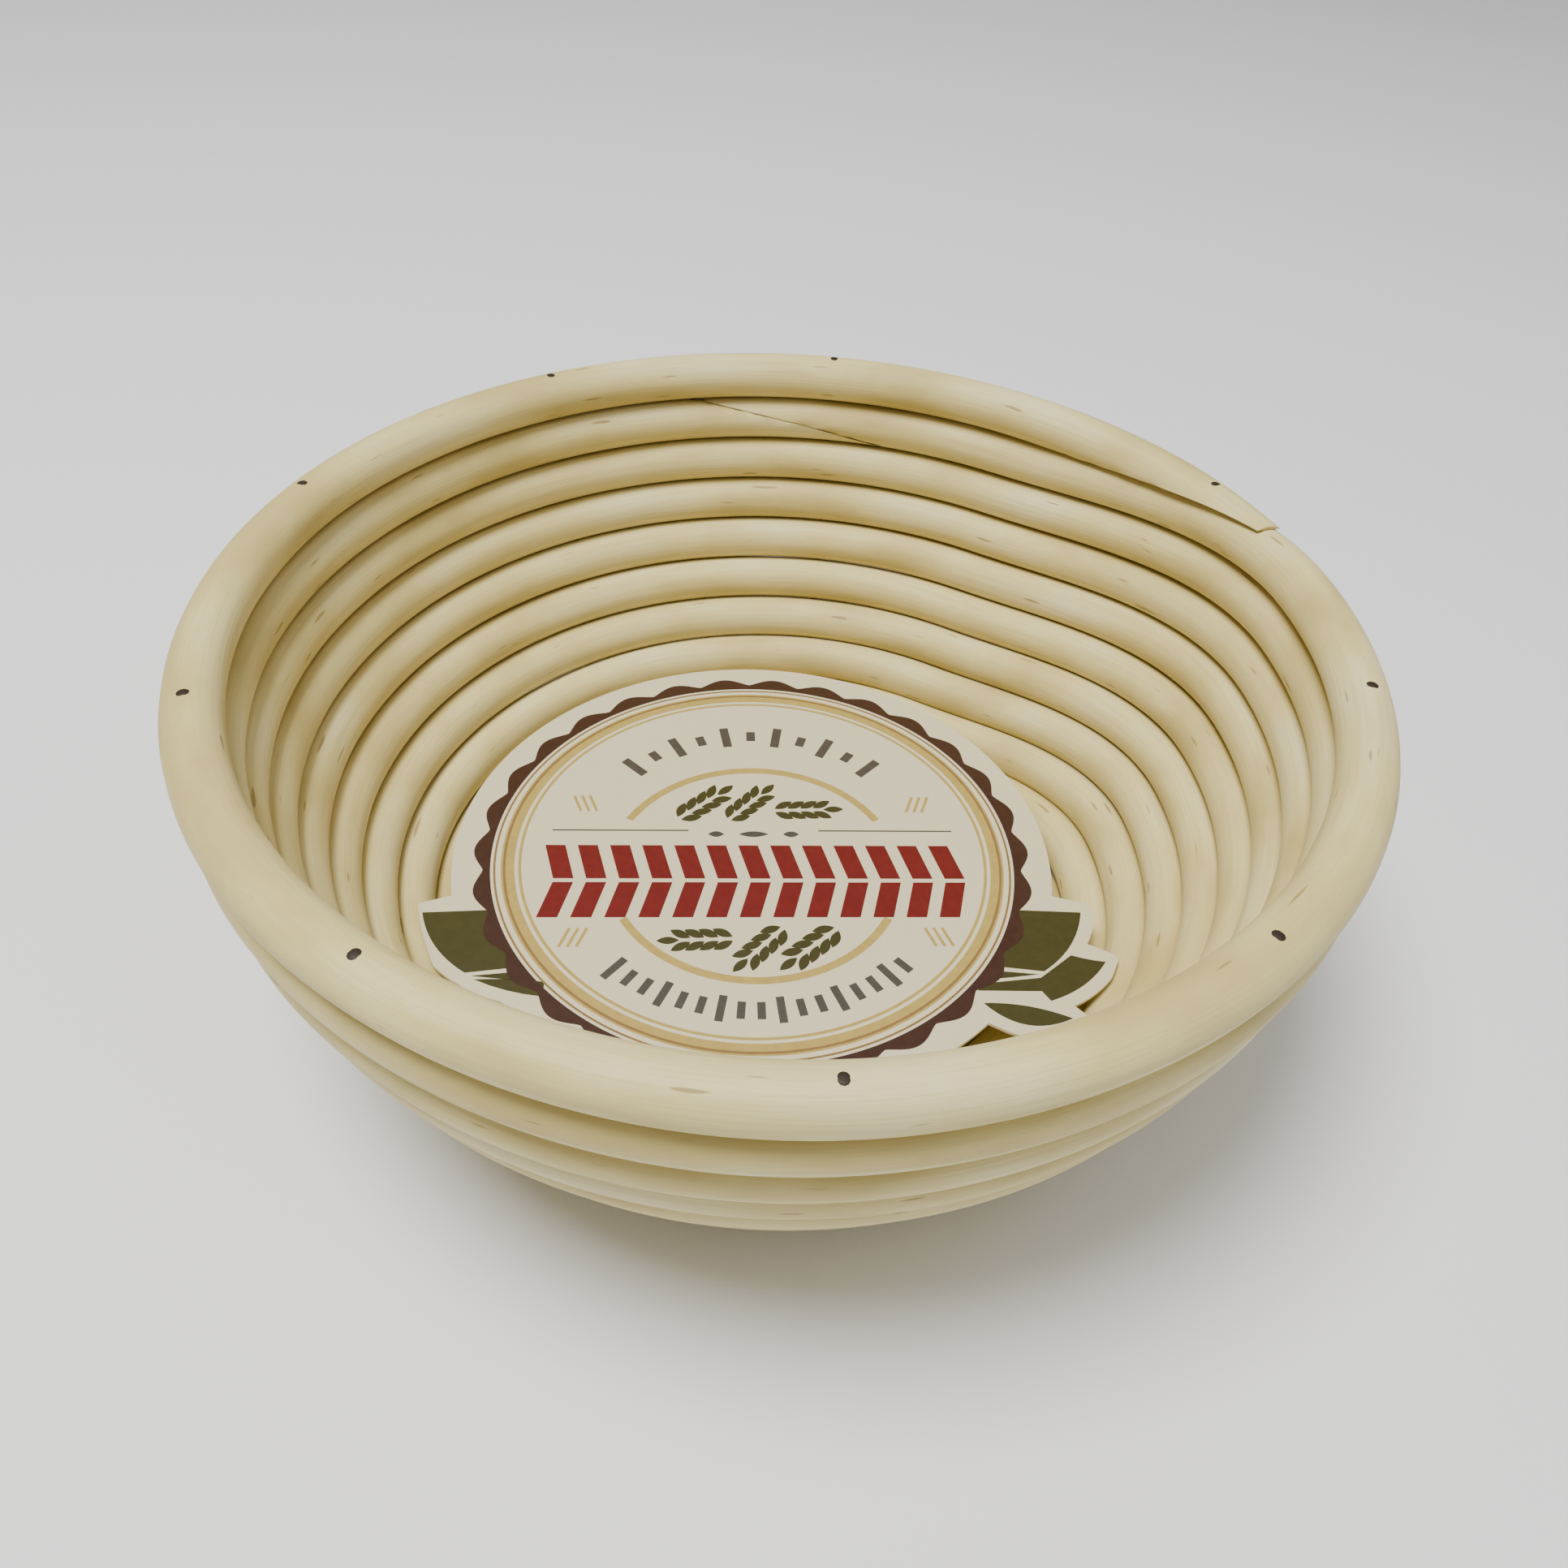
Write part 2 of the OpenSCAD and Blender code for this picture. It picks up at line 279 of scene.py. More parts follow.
class Coil:
    """The cane's middle line, at travel t: the angle wound from where the rim turn begins.

    Each turn is level at first, and steps down by one pitch at its end. Down the wall the
    turns follow a wide bend, then the foot bend, then the flat base.
    """

    def __init__(self, sizes):
        self.sizes = sizes
        self.r = sizes.cane_width / 2
        self.pitch = sizes.cane_width + sizes.seam_gap
        rim_r = sizes.bowl_width / 2 - self.r
        rim_z = sizes.bowl_height - self.r
        self.base_z = self.r
        rise = rim_z - self.base_z - sizes.foot_bend * (1 - math.cos(sizes.foot_slope))
        self.bend = rise / (math.cos(sizes.foot_slope) - math.cos(sizes.rim_slope))
        self.wall = self.bend * (sizes.rim_slope - sizes.foot_slope)
        self.foot = sizes.foot_bend * sizes.foot_slope
        self.mid_r = rim_r - self.bend * math.sin(sizes.rim_slope)
        self.mid_z = rim_z + self.bend * math.cos(sizes.rim_slope)
        self.foot_r = self.mid_r + (self.bend - sizes.foot_bend) * math.sin(sizes.foot_slope)
        inner_turn = TIGHTEST_TURN * self.pitch
        self.last = int((self.wall + self.foot + self.foot_r - inner_turn) / self.pitch)

    def slope(self, s):
        """The wall's slope at length s down from the rim."""
        if s < self.wall:
            return self.sizes.rim_slope - s / self.bend
        return max(0.0, self.sizes.foot_slope - (s - self.wall) / self.sizes.foot_bend)

    def radius(self, s):
        """Distance from the bowl's axis at length s down from the rim."""
        if s < self.wall:
            return self.mid_r + self.bend * math.sin(self.slope(s))
        flat = max(0.0, s - self.wall - self.foot)
        return self.foot_r + self.sizes.foot_bend * math.sin(self.slope(s)) - flat

    def height(self, s):
        """Height above the table at length s down from the rim."""
        if s < self.wall:
            return self.mid_z - self.bend * math.cos(self.slope(s))
        return self.base_z + self.sizes.foot_bend * (1 - math.cos(self.slope(s)))

    def step_width(self, k):
        """Angle over which turn k steps down. The wall's turns step alike, and so touch all the way."""
        into_base = max(0, k - self.sizes.base_joint_turn)
        return min(math.pi, self.sizes.step_span * self.sizes.step_growth ** into_base)

    def step_start(self, k):
        """Bearing where turn k begins to step down."""
        return TURN + self.sizes.step_end - self.step_width(k)

    def depth(self, t):
        """Length down from the rim at travel t."""
        k = max(0, math.floor(t / TURN))
        return self.pitch * (k + ease((t - TURN * (k + 1)) / self.step_width(k) + 1))

    def travel(self, k, at):
        return TURN * k + at - self.sizes.step_end

    def frame_at(self, t, sway=0.0):
        """The middle line's point at travel t, and the directions out of the wall and up along it."""
        s, at = self.depth(t), t + self.sizes.step_end
        a = self.slope(s)
        away = Vector((math.cos(at), math.sin(at), 0))
        out = away * math.sin(a) - Vector((0, 0, math.cos(a)))
        up = away * math.cos(a) + Vector((0, 0, math.sin(a)))
        middle = away * self.radius(s) + Vector((0, 0, self.height(s)))
        return middle + out * sway * math.sin(a), out, up

    def sway(self, t):
        """How far the cane wanders out of the wall at travel t: three slow waves that never line up."""
        waves = ((1.31, 0.4, 0.5), (2.77, 1.9, 0.3), (6.13, 4.1, 0.2))
        return self.sizes.sway * sum(part * math.sin(rate * t + shift) for rate, shift, part in waves)

    def scarf_height(self, t, k, at):
        """Height of the slanting cut across the cane, from its middle line, for the joint in turn k."""
        along = (t - self.travel(k, at)) * self.radius(k * self.pitch)
        return along * self.sizes.cane_width / self.sizes.scarf_length

    def scarf_half(self, k):
        """Half the angle that the joint in turn k takes up."""
        share = 0.5 - SCARF_TIP / self.sizes.cane_width
        return share * self.sizes.scarf_length / self.radius(k * self.pitch)

    def lap_height(self, t):
        """Height of the rim end's underside, which lies on the turn that steps down under it."""
        return self.r + self.sizes.seam_gap - self.depth(t + TURN)


def cane_stops(start, end):
    """Travel of each ring along a cane, on even bearings and at both ends."""
    step = TURN / STOPS_PER_TURN
    inside = [i * step for i in range(math.floor(start / step) + 1, math.ceil(end / step))]
    return [start, *inside, end]


def cane_path(name, coil, start, end, cut):
    """A mesh of points along a cane. cut(t) gives the heights between which the cane is whole.

    Each end gets one more ring of no girth, which closes the cane. covered says how far the
    turn lies below another one: 0 on the rim, and 1 from one turn down.
    """
    stops = cane_stops(start, end)
    rows = [(start, 0.0), *((t, 1.0) for t in stops), (end, 0.0)]
    columns = {"middle": [], "out": [], "up": [], "cut": [], "girth": [], "covered": []}
    along, last = 0.0, None
    for t, girth in rows:
        middle, out, up = coil.frame_at(t, coil.sway(t))
        along += (middle - last).length if last else 0.0
        last = middle
        low, high = cut(t)
        if not girth:
            middle = middle + up * (max(low, -coil.r) + min(high, coil.r)) / 2
        columns["middle"].append(middle)
        columns["out"].append(out)
        columns["up"].append(up)
        columns["cut"].append((low * girth, high * girth, along))
        columns["girth"].append(girth)
        columns["covered"].append(min(1.0, coil.depth(t) / coil.pitch))
    mesh = bpy.data.meshes.new(name + "_path")
    mesh.from_pydata([tuple(p) for p in columns["middle"]], [], [])
    for label in ("out", "up", "cut"):
        values = [c for v in columns[label] for c in v]
        mesh.attributes.new(label, "FLOAT_VECTOR", "POINT").data.foreach_set("vector", values)
    for label in ("girth", "covered"):
        mesh.attributes.new(label, "FLOAT", "POINT").data.foreach_set("value", columns[label])
    return mesh


def cane_tree():
    """Sweeps a round cane along a path of points, and cuts it off flat between each point's two heights."""
    tree, given = new_tree("Swept Cane", (
        ("Radius", "NodeSocketFloat", 4.65 * MM),
        ("Sides", "NodeSocketInt", CANE_SIDES),
        ("Unevenness", "NodeSocketFloat", 0.01),
        ("Uneven Every", "NodeSocketFloat", 30 * MM),
        ("Seed", "NodeSocketInt", FIRST_SEED),
        ("Crease Angle", "NodeSocketFloat", math.radians(35)),
        ("Soak", "NodeSocketFloat", 0.8 * MM),
        ("Finish", "NodeSocketMaterial", None),
    ))

    number, arrow = "ShaderNodeMath", "ShaderNodeVectorMath"
    path, radius, sides = given["Geometry"], given["Radius"], given["Sides"]

    # A grid of points, one row for each stop on the path, with the first point of a row met again last
    count = add(tree, "GeometryNodeAttributeDomainSize", {"Geometry": path}).outputs["Point Count"]
    row = add(tree, number, {0: sides, 1: 1}, operation="ADD")
    grid = add(tree, "GeometryNodeMeshGrid", {"Vertices X": count, "Vertices Y": row})
    index = add(tree, "GeometryNodeInputIndex")
    past_index = add(tree, number, {0: index, 1: 0.5}, operation="ADD")
    rows = add(tree, number, {0: past_index, 1: row}, operation="DIVIDE")
    stop = add(tree, number, {0: rows}, operation="FLOOR")
    row_start = add(tree, number, {0: stop, 1: row}, operation="MULTIPLY")
    in_row = add(tree, number, {0: index, 1: row_start}, operation="SUBTRACT")
    share = add(tree, number, {0: in_row, 1: sides}, operation="DIVIDE")
    around = add(tree, number, {0: share, 1: TURN}, operation="MULTIPLY")
    sine = add(tree, number, {0: around}, operation="SINE")
    cosine = add(tree, number, {0: around}, operation="COSINE")

    def sample(label, kind):
        """What the path holds under this name at the point's stop."""
        field = add(tree, "GeometryNodeInputNamedAttribute", {"Name": label}, data_type=kind)
        return add(tree, "GeometryNodeSampleIndex", {"Geometry": path, "Value": field, "Index": stop},
                   data_type=kind, domain="POINT")

    middle, out, up, cut = (sample(label, "FLOAT_VECTOR") for label in ("position", "out", "up", "cut"))
    girth, covered = sample("girth", "FLOAT"), sample("covered", "FLOAT")
    low, high, along = add(tree, "ShaderNodeSeparateXYZ", {0: cut}).outputs

    # The cane's thickness wanders a little along its length.
    stretches = add(tree, number, {0: along, 1: given["Uneven Every"]}, operation="DIVIDE")
    drawn_at = add(tree, number, {0: stretches, 1: given["Seed"]}, operation="ADD")
    noise = add(tree, "ShaderNodeTexNoise",
                {"W": drawn_at, "Scale": 1.0, "Detail": 1.0}, noise_dimensions="1D")
    centred = add(tree, number, {0: noise, 1: 0.5}, operation="SUBTRACT")
    wander = add(tree, number, {0: centred, 1: given["Unevenness"]}, operation="MULTIPLY")
    swell = add(tree, number, {0: 1.0, 1: wander}, operation="ADD")
    thick = add(tree, number, {0: radius, 1: swell}, operation="MULTIPLY")
    r = add(tree, number, {0: thick, 1: girth}, operation="MULTIPLY")

    # Each point goes to the circle, is brought in to the cut's height, and then in to the skin there.
    up_raw = add(tree, number, {0: r, 1: sine}, operation="MULTIPLY")
    out_raw = add(tree, number, {0: r, 1: cosine}, operation="MULTIPLY")
    above_low = add(tree, number, {0: up_raw, 1: low}, operation="MAXIMUM")
    up_cut = add(tree, number, {0: above_low, 1: high}, operation="MINIMUM")
    r_squared = add(tree, number, {0: r, 1: r}, operation="MULTIPLY")
    up_squared = add(tree, number, {0: up_cut, 1: up_cut}, operation="MULTIPLY")
    left = add(tree, number, {0: r_squared, 1: up_squared}, operation="SUBTRACT")
    chord_squared = add(tree, number, {0: left, 1: 0.0}, operation="MAXIMUM")
    half_chord = add(tree, number, {0: chord_squared}, operation="SQRT")
    side = add(tree, number, {0: out_raw}, operation="SIGN")
    reach = add(tree, number, {0: out_raw}, operation="ABSOLUTE")
    short_reach = add(tree, number, {0: reach, 1: half_chord}, operation="MINIMUM")
    out_cut = add(tree, number, {0: side, 1: short_reach}, operation="MULTIPLY")
    outwards = add(tree, arrow, {0: out, "Scale": out_cut}, operation="SCALE")
    upwards = add(tree, arrow, {0: up, "Scale": up_cut}, operation="SCALE")
    beside_middle = add(tree, arrow, {0: middle, 1: outwards}, operation="ADD")
    place = add(tree, arrow, {0: beside_middle, 1: upwards}, operation="ADD")

    # The map runs along the cane and round it, in metres, so that the fibres follow the coil.
    girth_way = add(tree, number, {0: around, 1: radius}, operation="MULTIPLY")
    flat = add(tree, "ShaderNodeCombineXYZ", {0: along, 1: girth_way})
    chart = add(tree, "GeometryNodeFieldOnDomain", {0: flat}, data_type="FLOAT_VECTOR", domain="POINT")
    mapped = add(tree, "GeometryNodeStoreNamedAttribute",
                 {"Geometry": grid, "Name": "UVMap", "Value": chart}, data_type="FLOAT2", domain="CORNER")

    # How near the skin is to the turn below, or to the one above where there is one; the cane is darkened
    # there as painted groove shade
    above = add(tree, number, {0: sine, 1: covered}, operation="MULTIPLY")
    below = add(tree, number, {0: sine, 1: -1.0}, operation="MULTIPLY")
    beside = add(tree, number, {0: above, 1: below}, operation="MAXIMUM")
    # A scarf shows as a dark line, because the glue has soaked in along its edge.
    over_low = add(tree, number, {0: up_cut, 1: low}, operation="SUBTRACT")
    under_high = add(tree, number, {0: high, 1: up_cut}, operation="SUBTRACT")
    from_cut = add(tree, number, {0: over_low, 1: under_high}, operation="MINIMUM")
    soaks = add(tree, number, {0: from_cut, 1: given["Soak"]}, operation="DIVIDE")
    soaked = add(tree, number, {0: 1.0, 1: soaks}, operation="SUBTRACT")
    # The painted groove shade and the real glue line together make one mask, which the material darkens the
    # cane by
    shade_and_glue_mask = add(tree, number, {0: beside, 1: soaked}, operation="MAXIMUM")
    marked = add(tree, "GeometryNodeStoreNamedAttribute",
                 {"Geometry": mapped, "Name": "seam", "Value": shade_and_glue_mask}, data_type="FLOAT", domain="POINT")

    placed = add(tree, "GeometryNodeSetPosition", {"Geometry": marked, "Position": place})
    merged = add(tree, "GeometryNodeMergeByDistance", {"Geometry": placed, "Distance": 0.001 * MM})
    smooth = add(tree, "GeometryNodeSetShadeSmooth",
                 {"Geometry": merged, "Shade Smooth": True}, domain="FACE")
    bent = add(tree, "GeometryNodeInputMeshEdgeAngle").outputs["Unsigned Angle"]
    sharp = add(tree, number, {0: bent, 1: given["Crease Angle"]}, operation="GREATER_THAN")
    creased = add(tree, "GeometryNodeSetShadeSmooth",
                  {"Geometry": smooth, "Selection": sharp, "Shade Smooth": False}, domain="EDGE")
    finish_tree(tree, creased, given["Finish"])
    return tree


def face_out(mesh):
    """Turns the faces of a closed mesh outwards."""
    bm = bmesh.new()
    bm.from_mesh(mesh)
    bmesh.ops.dissolve_degenerate(bm, dist=0.0005 * MM, edges=bm.edges)
    bmesh.ops.recalc_face_normals(bm, faces=bm.faces)
    bm.to_mesh(mesh)
    bm.free()


# ---------------------------------------------------------------- nails


def joint_nails(coil, k, at):
    """Bearings of the two nails through the scarf joint in turn k."""
    return [at + side * JOINT_NAIL_AT * coil.scarf_half(k) for side in (-1, 1)]


def nail_row(coil, k, every):
    """Turn and bearing of each nail from turn k into the next, clear of the scarf joints' own nails."""
    sizes = coil.sizes
    joints = ((sizes.rim_joint_turn, sizes.rim_joint_at), (sizes.base_joint_turn, sizes.base_joint_at))
    room = 2 * sizes.nail_head / coil.radius(k * coil.pitch)
    at = sizes.first_nail_at + (k % (2 * every)) * sizes.nail_angle / 2
    found = []
    while at <= coil.step_start(k + 1) - NAIL_MARGIN:
        beside = [b for jk, ja in joints if abs(k - jk) <= 1 for b in joint_nails(coil, jk, ja)]
        if all(abs(at - b) > room for b in beside):
            found.append((k, at))
        at += every * sizes.nail_angle
    return found


def nail_places(coil):
    """Turn and bearing of every nail, for each of the three groups."""
    sizes = coil.sizes
    upper, lower = sizes.rim_joint_turn, sizes.base_joint_turn
    return {
        "rim_nails": nail_row(coil, 0, 1) + [(0, sizes.step_end - sizes.rim_lap + RIM_END_NAIL)],
        "wall_nails": [n for k in range(1, lower) for n in nail_row(coil, k, 1)]
        + [(upper, at) for at in joint_nails(coil, upper, sizes.rim_joint_at)],
        "base_nails": [n for k in range(lower, coil.last) for n in nail_row(coil, k, 2)]
        + [(lower, at) for at in joint_nails(coil, lower, sizes.base_joint_at)],
    }


def nail_mesh(coil):
    """One nail with a domed head, its crown at the origin and its point down."""
    sizes = coil.sizes
    shaft, head = sizes.nail_width / 2, sizes.nail_head / 2
    tip = -(coil.pitch + sizes.nail_bite)
    # Radius and height down the nail: a low dome, its thin edge, the shaft and a blunt point
    outline = [
        (0.45 * head, -0.03 * MM), (0.8 * head, -0.11 * MM), (head, -0.22 * MM), (head, -0.4 * MM),
        (shaft, -0.5 * MM), (shaft, tip + 1.5 * MM), (0.15 * MM, tip),
    ]
    bearings = [TURN * i / NAIL_SIDES for i in range(NAIL_SIDES)]
    bm = bmesh.new()
    rings = [[bm.verts.new((r * math.cos(a), r * math.sin(a), z)) for a in bearings] for r, z in outline]
    top = bm.verts.new((0, 0, 0))
    for i in range(NAIL_SIDES):
        j = (i + 1) % NAIL_SIDES
        bm.faces.new((top, rings[0][i], rings[0][j]))
        for upper, lower in zip(rings, rings[1:]):
            bm.faces.new((upper[i], lower[i], lower[j], upper[j]))
    bm.faces.new(list(reversed(rings[-1])))
    mesh = bpy.data.meshes.new("nail")
    bm.to_mesh(mesh)
    bm.free()
    return mesh


def nail_tree():
    """Puts a nail at each point, turned as the point's attribute says."""
    tree, given = new_tree("Driven Nails", (
        ("Nail", "NodeSocketObject", None),
        ("Finish", "NodeSocketMaterial", None),
    ))
    shape = add(tree, "GeometryNodeObjectInfo", {"Object": given["Nail"]}).outputs["Geometry"]
    turned = add(tree, "GeometryNodeInputNamedAttribute", {"Name": "turned"}, data_type="FLOAT_VECTOR")
    spots = add(tree, "GeometryNodeMeshToPoints", {"Mesh": given["Geometry"]})
    placed = add(tree, "GeometryNodeInstanceOnPoints",
                 {"Points": spots, "Instance": shape, "Rotation": turned})
    finish_tree(tree, placed, given["Finish"])
    return tree


# ---------------------------------------------------------------- the card


OUTLINE_STOPS = 720
# Spacing of the points along a leaf that its border is drawn from, in millimetres
BORDER_STEP = 0.4


def arc_between(a, b, bulge, count=12):
    """Points from a to b along an arc that bows out by bulge to the right of the way."""
    a, b = Vector(a), Vector(b)
    across = Vector(((b - a).y, -(b - a).x)).normalized()
    points = []
    for i in range(count + 1):
        f = i / count
        points.append(a.lerp(b, f) + across * bulge * 4 * f * (1 - f))
    return points


def leaf_shapes():
    """Outlines of the printed leaves, in millimetres from the card's middle, anticlockwise."""
    upper = [Vector((62, -16.4)), Vector((50, -15.8)), Vector((43.5, -29.6)), Vector((52.3, -30.8))]
    upper += arc_between((52.3, -30.8), (62, -16.4), 1.6)[1:-1]
    lower = [*arc_between((64.2, -28.6), (58, -27.0), -0.2, 3), Vector((51.4, -32.3)), Vector((39.5, -33.7))]
    lower += [Vector((39.5, -35.2)), Vector((51.0, -35.4)), Vector((52.3, -37.6))]
    lower += arc_between((52.3, -37.6), (64.2, -28.6), 1.2)[1:-1]
    vein = [Vector((51.2, -31.5)), Vector((44, -30.7)), Vector((42, -32.6)), Vector((46, -32.2))]
    hidden = arc_between((55.5, -41.5), (40, -38.0), 1.0)
    hidden += arc_between((40, -38.0), (55.5, -41.5), 3.2)[1:-1]
    right = [upper, lower, vein, hidden]
    small = arc_between((50.5, -32.3), (38, -32.9), 0.3, 4)
    small += arc_between((38, -36.2), (50.5, -32.3), 0.6, 4)[:-1]
    left = [[Vector((-p.x, p.y)) for p in reversed(shape)] for shape in (upper, small, vein)]
    return right, left


def card_outline(sizes, shapes):
    """The die-cut edge: the disc, grown round each leaf by a border, and stopped short of the wall."""
    disc, border = sizes.disc_radius / MM, sizes.leaf_border / MM
    dense = []
    for shape in shapes:
        for p, q in zip(shape, shape[1:] + shape[:1]):
            count = max(1, int((q - p).length / BORDER_STEP))
            dense += [p.lerp(q, i / count) for i in range(count)]
    polar = [(p.length, math.atan2(p.y, p.x)) for p in dense]
    outline = []
    for i in range(OUTLINE_STOPS):
        at = TURN * i / OUTLINE_STOPS
        far = disc
        for r, a in polar:
            aside = r * math.sin(at - a)
            if abs(aside) < border and math.cos(at - a) > 0:
                far = max(far, r * math.cos(at - a) + math.sqrt(border * border - aside * aside))
        outline.append(Vector((far * math.cos(at), far * math.sin(at))))
    reach = sizes.leaf_reach / MM
    settled = []
    for p in outline:
        place = on_card(sizes, p)
        flat = Vector((place.x, place.y))
        settled.append(flat * min(1.0, reach * MM / flat.length))
    return settled


def on_card(sizes, point):
    """A point of the card, in millimetres from its middle, as a place in the bowl, in metres."""
    c, s = math.cos(sizes.turned), math.sin(sizes.turned)
    return Vector((sizes.middle_x + (point[0] * c - point[1] * s) * MM,
                   sizes.middle_y + (point[0] * s + point[1] * c) * MM))


def plate(name, loops, low, high, material):
    """One object of flat closed plates, each from a loop of places, between two heights."""
    bm = bmesh.new()
    for loop in loops:
        face = bm.faces.new([bm.verts.new((p[0], p[1], low)) for p in loop])
        raised = bmesh.ops.extrude_face_region(bm, geom=[face], use_keep_orig=True)["geom"]
        tops = [g for g in raised if isinstance(g, bmesh.types.BMVert)]
        bmesh.ops.translate(bm, verts=tops, vec=(0, 0, high - low))
    bmesh.ops.recalc_face_normals(bm, faces=bm.faces)
    bmesh.ops.triangulate(bm, faces=[f for f in bm.faces if len(f.verts) > 4])
    mesh = bpy.data.meshes.new(name)
    bm.to_mesh(mesh)
    bm.free()
    mesh.materials.append(material)
    return link_new(name, mesh)


def band(inner, outer, start, end, count, middle=(0.0, 0.0)):
    """Flat strips between two radii, each a number or a function of the bearing.

    A long way round is cut into six strips, because one outline can't close on itself.
    """
    def at_radius(r, a):
        far = r(a) if callable(r) else r
        return Vector((middle[0] + far * math.cos(a), middle[1] + far * math.sin(a)))

    def strip(a0, a1, steps):
        angles = [a0 + (a1 - a0) * i / steps for i in range(steps + 1)]
        return [at_radius(inner, a) for a in angles] + [at_radius(outer, a) for a in reversed(angles)]

    pieces = 6 if end - start > math.pi else 1
    span = (end - start) / pieces
    return [strip(start + i * span, start + (i + 1) * span, max(2, count // pieces)) for i in range(pieces)]


def scalloped(sizes):
    """Radius of the ring's edge at a bearing: round bumps with narrower round bites between them."""
    bite, roundness = 2.0, 0.65

    def edge(a):
        wave = 0.5 + 0.5 * math.cos(a * sizes.scallops)
        return sizes.ring_radius / MM - bite * (1 - wave ** roundness)
    return edge


def lens(middle, along, half, width, count=8):
    """A pointed oval such as a grain of wheat."""
    way = Vector((math.cos(along), math.sin(along)))
    a, b = Vector(middle) - way * half, Vector(middle) + way * half
    return arc_between(a, b, width / 2, count) + arc_between(b, a, width / 2, count)[1:-1]


def bar(a, b, width):
    """A straight bar from a to b."""
    a, b = Vector(a), Vector(b)
    side = Vector((-(b - a).y, (b - a).x)).normalized() * width / 2
    return [a - side, b - side, b + side, a + side]


def wheat_ear(root, lean, grains, grain_len):
    """Grains in pairs up a stalk, and one at the tip."""
    way = Vector((math.cos(lean), math.sin(lean)))
    side = Vector((-way.y, way.x))
    # Spacing up the stalk, distance beside it and two widths, all as shares of a grain's length
    spacing, beside, width, tip_width = 0.62, 0.36, 0.44, 0.42
    splay = 0.5
    tip = Vector(root) + way * (grains + 0.4) * spacing * grain_len
    found = [lens(tip, lean, grain_len / 2, tip_width * grain_len)]
    for i in range(grains):
        for hand in (-1, 1):
            place = Vector(root) + way * (i + 0.5) * spacing * grain_len + side * hand * beside * grain_len
            found.append(lens(place, lean + hand * splay, grain_len / 2, width * grain_len))
    return found


def half_turned(shapes, middle):
    """The same shapes turned half round about a point."""
    return [[Vector(middle) * 2 - p for p in shape] for shape in shapes]


def dial(count, first, step, width, reach):
    """Bars that point at the card's middle, in degrees from the first. reach(i) gives a bar's two radii."""
    found = []
    for i in range(count):
        a = math.radians(first + step * i)
        way = Vector((math.cos(a), math.sin(a)))
        inner, outer = reach(i)
        found.append(bar(way * inner, way * outer, width))
    return found


def print_layers(sizes):
    """Everything printed on the card: layer name to its colour's name, its height and its shapes.

    The sizes are in millimetres from the card's middle.
    """
    full = (0.0, TURN, OUTLINE_STOPS)
    right, left = leaf_shapes()
    emblem = (0.0, -4.6)
    arcs = [(math.radians(28), math.radians(152)), (math.radians(208), math.radians(332))]
    gold = band(46.6, 49.2, *full) + band(45.3, 45.9, *full)
    gold += [s for a, b in arcs for s in band(27.4, 29.0, a, b, 40, emblem)]
    for x, y in ((-34, 13.4), (33.8, 13.4), (-33.8, -22.5), (34, -22.5)):
        lean = math.copysign(0.35, x * y)
        way = Vector((math.sin(lean), math.cos(lean)))
        for shift in (-1.6, 0, 1.6):
            middle = Vector((x + shift, y))
            gold.append(bar(middle - way * 2.4, middle + way * 2.4, 0.6))
    ears = wheat_ear((-14.5, 9.5), math.radians(42), 4, 4.4)
    ears += wheat_ear((-4.5, 9.3), math.radians(48), 4, 4.2)
    ears += wheat_ear((5.0, 11.5), math.radians(2), 4, 4.2)
    ears += half_turned(ears, (0.0, -5.7))
    half_band, stitches = 41, 13
    stitch = 2 * half_band / stitches
    red = []
    for i in range(stitches):
        x = -half_band + i * stitch
        for low, high in ((-17.6, -8.6), (1.4, -7.6)):
            red.append([Vector((x, low)), Vector((x + stitch * 0.62, low)),
                        Vector((x + stitch * 0.98, high)), Vector((x + stitch * 0.36, high))])
    grey = [bar((-40, 5.6), (-13, 5.6), 0.35), bar((13, 5.6), (40, 5.6), 0.35)]
    grey += [lens((x, 4.6), 0.0, 3.0 if x == 0 else 1.6, 1.6) for x in (-7.5, 0, 7.5)]
    grey += dial(11, 135, -9, 1.9, lambda i: (33.2, 36.2) if i % 2 else (31.6, 37.8))
    grey += dial(17, 229, 5.2, 1.5, lambda i: (37.6, 41.4) if i % 3 else (36.6, 42.4))
    return {
        "print_leaves": ("olive", 1, right + left),
        "print_grain": ("olive", 1, ears),
        "print_ring": ("brown", 2, band(51.2, scalloped(sizes), 0.0, TURN, sizes.scallops * 18)),
        "print_ring_line": ("bronze", 2, band(48.3, 48.8, *full) + band(50.2, 50.6, *full)),
        "print_gold": ("gold", 1, gold),
        "print_plait": ("red", 1, red),
        "print_dashes": ("grey", 1, grey),
    }


# ---------------------------------------------------------------- materials


def new_material(name, base, roughness, **sockets):
    """A material whose shader has these constant values; returns it, its tree and its shader."""
    material = bpy.data.materials.new(name)
    material.use_nodes = True
    tree = material.node_tree
    shader = tree.nodes["Principled BSDF"]
    shader.inputs["Base Color"].default_value = base
    shader.inputs["Roughness"].default_value = roughness
    for socket, value in sockets.items():
        shader.inputs[socket.replace("_", " ")].default_value = value
    return material, tree, shader


def laid_over(tree, under, top, noise, *stops):
    """A colour over another, as much as the noise says: stops are (noise, share of the top colour) each."""
    mask = add(tree, "ShaderNodeValToRGB", {"Fac": noise}, [(at, (v, v, v, 1)) for at, v in stops])
    # Inputs 6 and 7 and output 2 are the node's colours.
    return add(tree, "ShaderNodeMix", {"Factor": mask, 6: under, 7: top}, data_type="RGBA").outputs[2]


